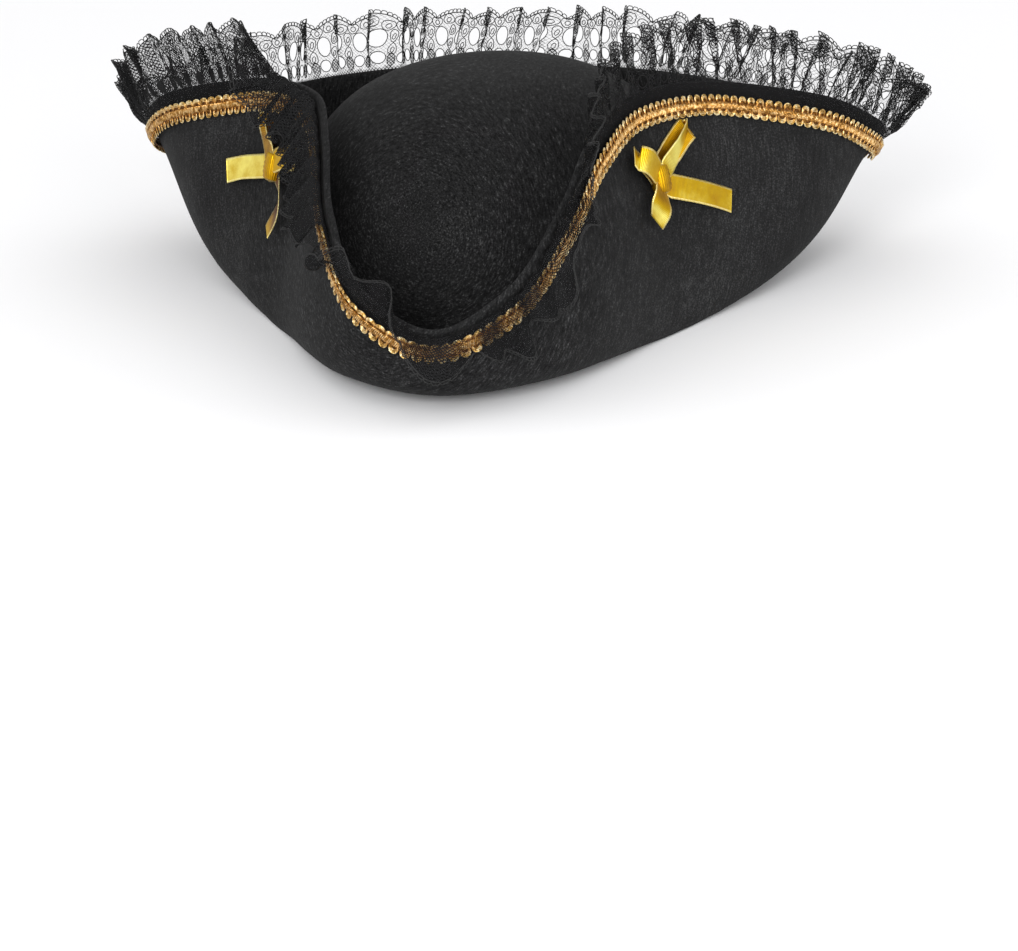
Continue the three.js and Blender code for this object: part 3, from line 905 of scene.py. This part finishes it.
def netMaterial():
    item, graph = material("laceNet")
    split = apart(graph, graph.add("ShaderNodeUVMap", dict(uv_map="cloth")))
    closeness = attribute(graph, "closeness")
    shut = attribute(graph, "shut") > 0.5
    u, v = split * (1000 / lace["netPitch"]), split.also("Y") * (1000 / lace["netPitch"])
    warp = ((u + v) * (2 * math.pi)).sine().maths("ABSOLUTE")
    weft = ((u - v) * (2 * math.pi)).sine().maths("ABSOLUTE")
    thread = warp.maths("MINIMUM", weft)
    # thin crossing threads, thicker where the cloth lies close
    cover = clamp(graph, (closeness * 0.55 + 0.09 - thread) * 8) * 0.85 + closeness * 0.35
    x, y = split * 1000, split.also("Y") * 1000
    repeat = lace["clothPerPleat"]
    for along, height, halfWidth, halfHeight, turn, kind in laceCells:
        if kind != "open":
            continue
        angle = math.radians(turn)
        dx = ((x + (repeat / 2 - along)) % repeat) - repeat / 2
        dy = y - height
        a = (dx * math.cos(angle) + dy * math.sin(angle)) / halfWidth
        b = (dy * math.cos(angle) - dx * math.sin(angle)) / halfHeight
        cover = cover * ((a * a + b * b) > 0.95).maths("MAXIMUM", shut)
    tone = colorMix(graph, thread, rgba(0.012, 0.012, 0.0124), rgba(0.004, 0.004, 0.0043))
    finishMaterial(graph, Base_Color=tone, Roughness=0.8, Alpha=clamp(graph, cover), Specular_IOR_Level=0.08)
    return item


def threadMaterial(name, dark, light):
    item, graph = material(name)
    twist = noise(graph, objectPlace(graph), 1400)
    tone = colorMix(graph, twist, rgba(dark, dark, dark), rgba(light, light, light))
    wound = relief(graph, 0.4, 0.0003, twist)
    finishMaterial(graph, Base_Color=tone, Roughness=0.7, Normal=wound, Specular_IOR_Level=0.12)
    return item


def scallopTop(cloth):
    part = np.mod(cloth + lace["scallopShift"], 1)
    return lace["edge"] + lace["scallop"] * np.sin(math.pi * part) ** 0.7


def cellDistance(x, y):
    # how far out of each cell's middle a point of the flat pattern lies: 1 is on the cell's outline
    repeat = lace["clothPerPleat"]
    result = []
    for along, height, halfWidth, halfHeight, turn, kind in laceCells:
        dx = np.mod(x - along + repeat / 2, repeat) - repeat / 2
        dy = y - height
        angle = math.radians(turn)
        a = dx * math.cos(angle) + dy * math.sin(angle)
        b = -dx * math.sin(angle) + dy * math.cos(angle)
        result.append((np.hypot(a / halfWidth, b / halfHeight), kind))
    return result


def makeLace():
    columns = lace["pleats"] * lace["columnsPerPleat"]
    cloth = np.arange(columns) / lace["columnsPerPleat"]
    levels = np.linspace(0, 1, lace["rows"])
    top = scallopTop(cloth)
    up = top[:, None] * levels
    grid = np.broadcast_to(cloth[:, None], up.shape)
    points = lacePoint(grid, up)
    x = grid * lace["clothPerPleat"]
    share = np.mod(grid / lace["pleats"], 1)
    closeness = np.full(up.shape, 0.15)
    opening = np.zeros(up.shape, bool)
    for distance, kind in cellDistance(x, up):
        if kind == "open":
            opening |= distance < 0.94
        if kind == "net":
            closeness = np.where(distance < 1, 0.1, closeness)
        if kind == "solid":
            closeness = np.where(distance < 1, 1.2, closeness)
    tables = (gatherTable, plainTable, plainClose)
    gathered, plain, sheer = (np.interp(share, *np.array(table).T) for table in tables)
    closeness = np.where(up < lace["tuck"] + 5.5, 0.6, closeness * gathered)
    closeness = lerp(closeness, sheer * cyclic(pleatCover, grid * 1.7), plain)
    shut = np.where((plain > 0.5) | (share > lace["openUntil"]), 1.0, 0.0)
    opening &= shut < 0.5
    # cloth seen on edge in the folds lets little light through
    folded = (pleatOf(grid)[2] > 0.72) & (up > lace["tuck"] + 5)
    closeness = np.where(folded, closeness + np.where(share > 0.62, 0.36, 0.22), closeness)

    faces = gridFaces(columns, lace["rows"], closeRows=True)
    shown = faces[~opening.ravel()[faces].all(1)]
    flatPoints = points.reshape(-1, 3)
    size = len(flatPoints)
    corners = flatPoints[faces]
    facing = np.cross(corners[:, 2] - corners[:, 0], corners[:, 3] - corners[:, 1])
    normal = np.zeros((size, 3))
    for k in range(4):
        np.add.at(normal, faces[:, k], facing)
    reach = unit(normal) * lace["thickness"] / 2
    both = np.concatenate([flatPoints + reach, flatPoints - reach])
    # rims close the sheet at its borders and round its openings
    edges = dict.fromkeys((a, b) for a, b in np.concatenate([shown[:, [k, (k + 1) % 4]] for k in range(4)]))
    rims = [(b, a, a + size, b + size) for a, b in edges if (b, a) not in edges]
    allFaces = np.concatenate([shown, shown[:, ::-1] + size, np.array(rims)])
    used = np.unique(allFaces)
    renumber = np.zeros(2 * size, int)
    renumber[used] = np.arange(len(used))
    uv = np.stack([x, up], -1).reshape(-1, 2) / 1000
    onePerPoint = dict(cloth=uv, closeness=closeness.ravel(), shut=shut.ravel())
    layers = {name: np.concatenate([values, values])[used] for name, values in onePerPoint.items()}
    sheet = meshObject("lace_net", both[used], renumber[allFaces], netMaterial(), layers)
    print("lace net", len(allFaces), "faces")
    return sheet


laceNet = makeLace()


def makeThreads():
    columns = lace["pleats"] * lace["columnsPerPleat"] + 1
    cloth = np.arange(columns)[:, None] / lace["columnsPerPleat"]
    up = np.linspace(0, lace["guideWidth"], lace["rows"])
    points = lacePoint(*np.broadcast_arrays(cloth, up))
    guide = guideObject("laceGuide", points, cloth / lace["pleats"], up / lace["guideWidth"])
    inputs = [
        ("Guide", "Object", guide),
        ("Repeats", "Int", lace["pleats"]),
        ("Repeat Length", "Float", lace["clothPerPleat"]),
        ("Strip Width", "Float", lace["guideWidth"]),
        ("Edge", "Float", lace["edge"]),
        ("Scallop", "Float", lace["scallop"]),
        ("Outline Radius", "Float", lace["outlineRadius"] / 1000),
        ("Edge Radius", "Float", lace["edgeRadius"] / 1000),
        ("Picot Radius", "Float", lace["picotRadius"] / 1000),
        ("Picots", "Int", lace["picots"]),
        ("Pattern From", "Int", lace["patternFrom"]),
        ("Pattern To", "Int", lace["patternTo"]),
    ]
    graph, given = treeOf("laceThreads", inputs)
    source = graph.add("GeometryNodeObjectInfo", None, {"Object": given["Guide"]}, "Geometry")
    position = graph.add("GeometryNodeInputPosition")
    index = graph.add("GeometryNodeInputIndex")

    def onLace(along, up):
        # along in repeats, up in millimetres
        spot = together(graph, (along / given["Repeats"]) % 1.0, up / given["Strip Width"])
        return sampled(graph, source, position, spot)

    def ring(shape, along, height, turn, halfWidth, halfHeight):
        return graph.add("GeometryNodeTransform", None, {
            "Geometry": shape,
            "Translation": (along, height, 0),
            "Rotation": (0, 0, math.radians(turn)),
            "Scale": (halfWidth, halfHeight, 1),
        })

    # outlines of the cells: flat rings, repeated along the strip and then laid on the pleats
    rings = []
    for order, (along, height, halfWidth, halfHeight, turn, kind) in enumerate(laceCells):
        shape = circle(graph, 12 if halfHeight < 3.2 else 16)
        if kind == "net":
            # net cells have wavy outlines and a small ring inside
            corner = apart(graph, position)
            bearing = corner.also("Y").maths("ARCTAN2", corner)
            petal = 1 + 0.11 * (bearing * 3 + order * 1.7).sine()
            wavy = graph.add("ShaderNodeVectorMath", dict(operation="SCALE"), {0: position, "Scale": petal})
            shape = graph.add("GeometryNodeSetPosition", None, {"Geometry": shape, "Position": wavy})
        rings.append(ring(shape, along, height, turn, halfWidth, halfHeight))
        if kind == "net":
            inside = height - 0.15 * halfHeight
            rings.append(ring(circle(graph, 7), along, inside, turn + 12, halfWidth * 0.42, halfHeight * 0.5))
    motif = graph.add("GeometryNodeJoinGeometry", None, {0: rings})
    spots = graph.add("GeometryNodeMeshLine", None, {
        "Count": given["Repeats"],
        "Offset": together(graph, given["Repeat Length"]),
    })
    chosen = (index > given["Pattern From"]) * (index < given["Pattern To"])
    laid = {"Points": spots, "Instance": motif, "Selection": chosen}
    laid = graph.add("GeometryNodeInstanceOnPoints", None, laid)
    real = graph.add("GeometryNodeRealizeInstances", None, {0: laid})
    where = apart(graph, position)
    onPleats = graph.add("GeometryNodeSetPosition", None, {
        "Geometry": real,
        "Position": onLace(where / given["Repeat Length"], where.also("Y")),
    })
    outlines = tube(graph, onPleats, given["Outline Radius"])

    def edgeHeight(along):
        part = (along + lace["scallopShift"]) % 1.0
        return given["Edge"] + given["Scallop"] * ((part * math.pi).sine() ** 0.7)

    # the cord along the scalloped edge
    edgeAlong = index / lace["edgeSteps"]
    edgeLine = graph.add("GeometryNodeMeshLine", None, {"Count": given["Repeats"] * lace["edgeSteps"]})
    edgeCurve = closedCurve(graph, edgeLine, onLace(edgeAlong, edgeHeight(edgeAlong)))
    edgeCord = tube(graph, edgeCurve, given["Edge Radius"])

    # small loops past the edge
    turns = index / lace["picotSteps"]
    angle = turns * (2 * math.pi)
    picotAlong = (turns - angle.sine() * 0.28) / given["Picots"]
    picotUp = edgeHeight(picotAlong) + 0.1 + (1 - angle.cosine()) * 0.8
    picotCount = given["Repeats"] * given["Picots"] * lace["picotSteps"]
    picotLine = graph.add("GeometryNodeMeshLine", None, {"Count": picotCount})
    picots = tube(graph, closedCurve(graph, picotLine, onLace(picotAlong, picotUp)), given["Picot Radius"])

    inner = painted(graph, outlines, threadMaterial("laceThread", 0.003, 0.022))
    border = graph.add("GeometryNodeJoinGeometry", None, {0: [edgeCord, picots]})
    # the edge cord and picots are lighter than the other threads: painted sheen
    border = painted(graph, border, threadMaterial("laceEdgeSheen", 0.008, 0.042))
    endTree(graph, graph.add("GeometryNodeJoinGeometry", None, {0: [inner, border]}))
    threads = grown("lace_threads", graph, inputs)
    bpy.data.objects.remove(guide)
    return threads


laceThreads = makeThreads()
print("lace made")

# ribbon bows
bow = dict(
    width=10.8,
    thickness=0.42,
    reach=42,
    belowEdge=36,
    knotPinch=0.55,
    toothPitch=1.1,
    toothDepth=0.22,
    ribPitch=0.75,
    borderWidth=0.9,
    places=(-1, -0.8, -0.4, 0, 0.4, 0.8, 1),  # points across the ribbon
    samples=70,
    wrapHalfWidth=4.5,
    wrapHalfDepth=3.5,
    wrapHalfHeight=6.8,
    wrapLift=3.7,
    wrapRings=15,
    wrapSides=20,
)

# rows are along, rise, out and turn, as in the part's source
rightBow = dict(
    around=57,
    strips=dict(
        smallLoop=[
            (0.03, -0.02, 0.06, 0), (-0.2, 0.16, 0.09, 14), (-0.41, 0.34, 0.13, 18),
            (-0.33, 0.26, 0.21, 16), (0.0, 0, 0.11, 0),
        ],
        longLoop=[
            (-0.03, -0.01, 0.05, 0), (0.29, 0.22, 0.07, -22), (0.55, 0.42, 0.1, -28),
            (0.33, 0.24, 0.14, -24), (-0.02, 0.01, 0.12, 0),
        ],
        shortTail=[
            (0.02, 0.0, 0.08, -10), (-0.14, -0.13, 0.15, 0),
            (-0.28, -0.23, 0.17, 22), (-0.43, -0.32, 0.15, 2),
        ],
        longTail=[
            (-0.03, -0.05, 0.09, 0), (0.33, -0.18, 0.14, -6),
            (0.68, -0.29, 0.15, -8), (0.94, -0.36, 0.14, -6),
        ],
    ),
)
leftBow = dict(
    around=296.4,
    strips=dict(
        upperLoop=[
            (0.02, -0.03, 0.05, 0), (-0.16, 0.22, 0.07, -42), (-0.26, 0.46, 0.09, -50),
            (-0.2, 0.26, 0.12, 8), (0, 0, 0.11, 0),
        ],
        frontLoop=[
            (-0.03, -0.02, 0.06, 0), (0.24, 0.1, 0.06, 0), (0.46, 0.18, 0.07, 0),
            (0.26, 0.12, 0.14, 0), (-0.02, 0.01, 0.12, 0),
        ],
        rearTail=[
            (0.03, 0.01, 0.08, 0), (-0.35, -0.04, 0.1, 4),
            (-0.7, -0.06, 0.12, 6), (-0.98, -0.07, 0.12, 4),
        ],
        lowerTail=[
            (-0.02, 0.03, 0.07, 0), (0.28, -0.2, 0.09, 24),
            (0.38, -0.43, 0.11, 13), (0.3, -0.64, 0.13, 14),
        ],
    ),
)

# share of a strip's length and the painted light there: high values paint highlights, low and negative ones
# paint shade
stripPaintedLight = dict(
    smallLoop=[(0, 0.1), (0.4, 0.35), (0.6, 0.7), (1, 0.3)],
    longLoop=[(0, 0.05), (0.42, 0.1), (0.55, 0.4), (0.72, 1.0), (0.85, 0.85), (1, 0.3)],
    shortTail=[(0, 0.2), (0.5, 0.3), (0.8, 0.9), (1, 0.6)],
    longTail=[(0, 0.3), (0.3, 0.55), (1, 0.5)],
    upperLoop=[(0, -0.1), (0.5, 0.0), (1, 0.1)],
    frontLoop=[(0, 0.3), (0.5, 0.6), (1, 0.5)],
    rearTail=[(0, 0.4), (0.3, 0.85), (1, 0.9)],
    lowerTail=[(0, 0.1), (0.25, -0.3), (0.7, -0.4), (1, 0.5)],
)


def satinMaterial():
    item, graph = material("goldRibbon")
    place = objectPlace(graph)
    split = apart(graph, graph.add("ShaderNodeUVMap", dict(uv_map="cloth")))
    ribs = (split * (1000 * 2 * math.pi / bow["ribPitch"])).sine() * 0.5 + 0.5
    sheen = noise(graph, place, 90, 3)
    glints = noise(graph, place, 130, 2, 0.6)
    grain = noise(graph, place, 1200, 1)
    fromMiddle = (split.also("Y") * 1000 - bow["width"] / 2).maths("ABSOLUTE")
    border = fromMiddle > bow["width"] / 2 - bow["borderWidth"]
    # painted light: the strips' painted highlights and shade, with noise for painted sheen and glints, over
    # the ribs and grain of the weave
    gold = ramp(
        graph,
        attribute(graph, "shine") * 0.34 + sheen * 0.3 + glints * 0.18 + ribs * 0.07 + grain * 0.06 + 0.08,
        (0.3, (0.13, 0.045, 0.001)),
        (0.48, (0.5, 0.27, 0.003)),
        (0.6, (0.62, 0.4, 0.004)),
        (0.75, (0.95, 0.84, 0.2)),
    )
    finishMaterial(
        graph,
        Base_Color=colorMix(graph, border * grain, gold, rgba(0.95, 0.85, 0.4)),
        Metallic=0.9,
        Roughness=border * -0.08 + 0.4,
        Normal=relief(graph, 0.5, 0.0003, ribs * 0.8 + grain * 0.3),
    )
    return item


def smoothRoute(rows, count):
    # a smooth run through the rows
    rows = np.array(rows, float)
    first, last = 2 * rows[0] - rows[1], 2 * rows[-1] - rows[-2]
    padded = np.vstack([first, rows, last])
    spot = np.linspace(0, len(rows) - 1, count)
    here = np.minimum(np.floor(spot).astype(int), len(rows) - 2)
    t = (spot - here)[:, None]
    a, b, c, d = (padded[here + k] for k in range(4))
    return 0.5 * (2 * b + (c - a) * t + (2 * a - 5 * b + 4 * c - d) * t**2 + (3 * b - a - 3 * c + d) * t**3)


def ribbonStrip(knot, rows, shine):
    along, rise, out, turn = smoothRoute(rows, bow["samples"]).T
    reach, middleAngle = bow["reach"], knot["around"]
    ends = facePoint(np.array([middleAngle - 0.5, middleAngle + 0.5]), bow["belowEdge"], np.zeros(2))[0]
    around = middleAngle + along * reach / np.linalg.norm(np.diff(ends, axis=0))
    points, normals = facePoint(around, bow["belowEdge"] - rise * reach, hat["wall"] / 2 + out * reach)
    direction = unit(np.gradient(points, axis=0))
    across = unit(np.cross(normals, direction))
    angle = np.radians(turn)[:, None]
    across = across * np.cos(angle) + np.cross(direction, across) * np.sin(angle)
    thick = np.cross(direction, across)
    length = np.concatenate([[0], np.cumsum(np.linalg.norm(np.diff(points, axis=0), axis=1))])
    # narrow at the knot, and finely toothed along both borders
    near = np.clip(np.hypot(along, rise) * reach / 7, 0, 1)
    half = bow["width"] / 2 * lerp(bow["knotPinch"], 1, eased(near))
    tooth = np.abs(np.mod(length / bow["toothPitch"], 1) - 0.5) * 2 * bow["toothDepth"]
    places = np.array(bow["places"])
    width = (half - tooth)[:, None] * places[[0, -1]]
    offsets = np.concatenate([width[:, :1], half[:, None] * places[1:-1], width[:, 1:]], 1)
    middle = points[:, None] + across[:, None] * offsets[..., None]
    sides = thick[:, None] * bow["thickness"] / 2
    section = np.concatenate([middle + sides, (middle - sides)[:, ::-1]], 1)
    uvAcross = (places + 1) / 2 * bow["width"]
    uv = np.stack(np.broadcast_arrays(length[:, None], np.concatenate([uvAcross, uvAcross[::-1]])), -1) / 1000
    size = section.shape[1]
    faces = gridFaces(len(points), size, closeColumns=True).tolist() + cappingFaces(len(points), size)
    paintedLightAlong = np.interp(length / length[-1], *np.array(shine).T)
    return section.reshape(-1, 3), faces, uv.reshape(-1, 2), np.repeat(paintedLightAlong, size), length[-1]


def cappingFaces(rings, sides):
    return [list(range(sides)), [(rings - 1) * sides + k for k in range(sides)][::-1]]


def knotWrap(knot):
    # the wrap round the middle: a short flattened tube of ribbon
    rings, sides = bow["wrapRings"], bow["wrapSides"]
    around = np.array([float(knot["around"])])
    out = np.array([hat["wall"] / 2 + bow["wrapLift"]])
    middle, normal = (value[0] for value in facePoint(around, bow["belowEdge"], out))
    level = unit(np.cross([0, 0, 1.0], normal))
    upright = np.cross(normal, level)
    points, uv = [], []
    for i in range(rings):
        along = (i / (rings - 1) - 0.5) * 2
        swell = 1 + 0.1 * math.cos(along * math.pi * 0.5) + 0.05 * math.cos(i * math.pi)
        close = math.sqrt(max(1 - abs(along) ** 6, 0.02))
        for j in range(sides):
            angle = 2 * math.pi * j / sides
            wide = level * math.cos(angle) * (bow["wrapHalfWidth"] * swell * close)
            deep = normal * math.sin(angle) * (bow["wrapHalfDepth"] * swell * close)
            points.append(middle + upright * along * bow["wrapHalfHeight"] + wide + deep)
            uv.append((j / sides * 20, (along + 1) * bow["width"] / 2))
    faces = gridFaces(rings, sides, closeColumns=True).tolist()
    faces += [face[::-1] for face in cappingFaces(rings, sides)]
    # the wrap gets a middling amount of painted light all over
    return np.array(points), faces, np.array(uv) / 1000, np.full(len(points), 0.25), 0.0


def makeBow(name, knot, surface):
    strips = [ribbonStrip(knot, rows, stripPaintedLight[strip]) for strip, rows in knot["strips"].items()]
    points, faces, uvs, paintedLightPoints, lengths = zip(*strips, knotWrap(knot))
    joined, base = [], 0
    for own, ownFaces in zip(points, faces):
        joined += [[base + k for k in face] for face in ownFaces]
        base += len(own)
    layers = dict(cloth=np.concatenate(uvs), shine=np.concatenate(paintedLightPoints))
    piece = meshObject(name, np.concatenate(points), joined, surface, layers)
    print(name, "ribbon length", round(sum(lengths)), "mm", len(joined), "faces")
    return piece, sum(lengths)


satin = satinMaterial()
bowRight, rightLength = makeBow("ribbon_right", rightBow, satin)
bowLeft, leftLength = makeBow("ribbon_left", leftBow, satin)
print("bows made")


# stage
def makeStage():
    item, graph = material("paleFloor")
    color = studio["floorColor"]
    cloud = noise(graph, objectPlace(graph), 3)
    tone = colorMix(graph, cloud, rgba(*color), rgba(*[min(1, part * 1.02) for part in color]))
    finishMaterial(graph, Base_Color=tone, Roughness=0.9)
    side = studio["floorSize"] / 2
    mesh = bpy.data.meshes.new("floor")
    corners = [(-side, -side, 0), (side, -side, 0), (side, side, 0), (-side, side, 0)]
    mesh.from_pydata(corners, [], [(0, 1, 2, 3)])
    mesh.materials.append(item)
    floor = linked("floor", mesh)

    world = bpy.data.worlds.new("studio")
    world.use_nodes = True
    sky = world.node_tree.nodes["Background"]
    sky.inputs["Color"].default_value = rgba(*studio["skyColor"])
    sky.inputs["Strength"].default_value = studio["skyStrength"]
    bpy.context.scene.world = world
    bpy.context.scene.view_settings.view_transform = "Standard"

    target = Vector((0, 0, 0.05))
    for name, spot, size, power in studio["lamps"]:
        data = bpy.data.lights.new(name, "AREA")
        data.size = size
        data.energy = power
        lamp = linked(name, data)
        lamp.location = spot
        lamp.rotation_euler = (target - Vector(spot)).to_track_quat("-Z", "Y").to_euler()

    data = bpy.data.cameras.new("camera")
    data.sensor_width = 36
    data.lens = view["lens"]
    data.clip_end = 50
    camera = linked("camera", data)
    camera.location = [(place + shift) / 1000 for place, shift in zip(view["place"], seat)]
    camera.rotation_euler = [math.radians(angle) for angle in view["turn"]]
    bpy.context.scene.camera = camera


makeStage()

# what each piece stands for
parts = [
    (felt, "felt_body", "felt"),
    (braidBase, "gold_braid", "gimp"),
    (gimpCords, "gold_braid", "gimp"),
    (laceNet, "lace_ruffle", "lace"),
    (laceThreads, "lace_ruffle", "lace"),
    (bowRight, "bow_right", "ribbon"),
    (bowLeft, "bow_left", "ribbon"),
]
for piece, node, finish in parts:
    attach(piece, "root")
    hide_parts(node)
rightLength / 1000
leftLength / 1000
